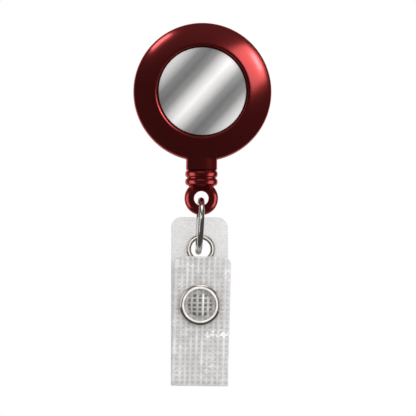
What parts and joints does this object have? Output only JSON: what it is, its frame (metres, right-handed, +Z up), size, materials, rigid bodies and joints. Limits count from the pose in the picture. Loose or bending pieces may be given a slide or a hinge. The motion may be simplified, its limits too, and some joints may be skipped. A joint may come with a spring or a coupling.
{
  "type": "retractable badge reel",
  "caption": "Round spring-loaded badge reel with a belt clip, ribbed cord end, jump ring and a folded clear vinyl strap with a snap fastener.",
  "frame": {"origin": "on the reel's axis, on the flat back of the case where the belt clip is riveted", "axes": "+Z up as worn, the strap hangs towards -Z; -Y is the front with the label; +Y is the belt clip's side; +X is to the right seen from the front"},
  "size_m": [0.032, 0.0152, 0.0841],
  "materials": {
    "red_plastic": "high-gloss moulded",
    "silver_foil": "satin foil label",
    "white_plastic": "moulded",
    "spring_steel": "nickel-plated spring steel",
    "nickel": "bright nickel plate",
    "cord": "braided nylon",
    "clear_vinyl": "clear vinyl over a white woven scrim"
  },
  "bodies": {
    "case": {"front_cover": "red_plastic", "rear_case": "red_plastic", "label_disc": "silver_foil", "clip_base": "spring_steel", "clip_rivet": "nickel", "cord_inlet": "cord"},
    "clip_leaf": {"clip_tongue": "spring_steel"},
    "reel_spool": {"spool": "white_plastic", "power_spring": "spring_steel", "cord_wound": "cord", "cord_inner_knot": "cord"},
    "cord_end": {"cord_lead": "cord", "cord_end_knot": "cord"},
    "fitting": {"end_fitting": "red_plastic"},
    "ring": {"jump_ring": "nickel"},
    "strap": {"strap_back": "clear_vinyl", "grommet_eyelet": "nickel", "grommet_washer": "nickel", "snap_stud": "nickel", "snap_back_ring": "nickel"},
    "flap": {"strap_flap": "clear_vinyl", "snap_socket": "nickel", "snap_cap_ring": "nickel"}
  },
  "joints": [
    {"name": "clip_open", "type": "hinge", "parent": "case", "child": "clip_leaf", "pos_m": [0, 0.00205, 0.01325], "axis": [1, 0, 0], "range_deg": [0, 12], "stiffness_Nm_per_rad": 0.4, "springref_deg": -5.73},
    {"name": "cord_pull", "type": "slide", "parent": "case", "child": "cord_end", "axis": [0, 0, -1], "range_m": [0, 0.864], "stiffness_N_per_m": 0.46, "springref_m": -1.3, "deforming": ["cord_lead"]},
    {"name": "spool_spin", "type": "hinge", "parent": "case", "child": "reel_spool", "pos_m": [0, 0, 0], "axis": [0, 1, 0], "range_deg": [0, 4300], "deforming": ["power_spring"]},
    {"name": "fitting_swivel", "type": "hinge", "parent": "cord_end", "child": "fitting", "pos_m": [0, -0.004, -0.0182], "axis": [0, 0, 1], "continuous": true},
    {"name": "ring_swing", "type": "hinge", "parent": "fitting", "child": "ring", "pos_m": [0, -0.004, -0.02492], "axis": [0, 1, 0], "range_deg": [-80, 80]},
    {"name": "strap_swing", "type": "hinge", "parent": "ring", "child": "strap", "pos_m": [-0.00026, -0.00401, -0.03099], "axis": [0.9977, 0.0523, -0.0436], "range_deg": [-75, 75]},
    {"name": "flap_open", "type": "hinge", "parent": "strap", "child": "flap", "pos_m": [0, -0.0053, -0.0681], "axis": [1, 0, 0], "range_deg": [0, 170]}
  ],
  "couplings": [
    {"joint": "spool_spin", "follows": "cord_pull", "rad_per_m": 86.768}
  ]
}
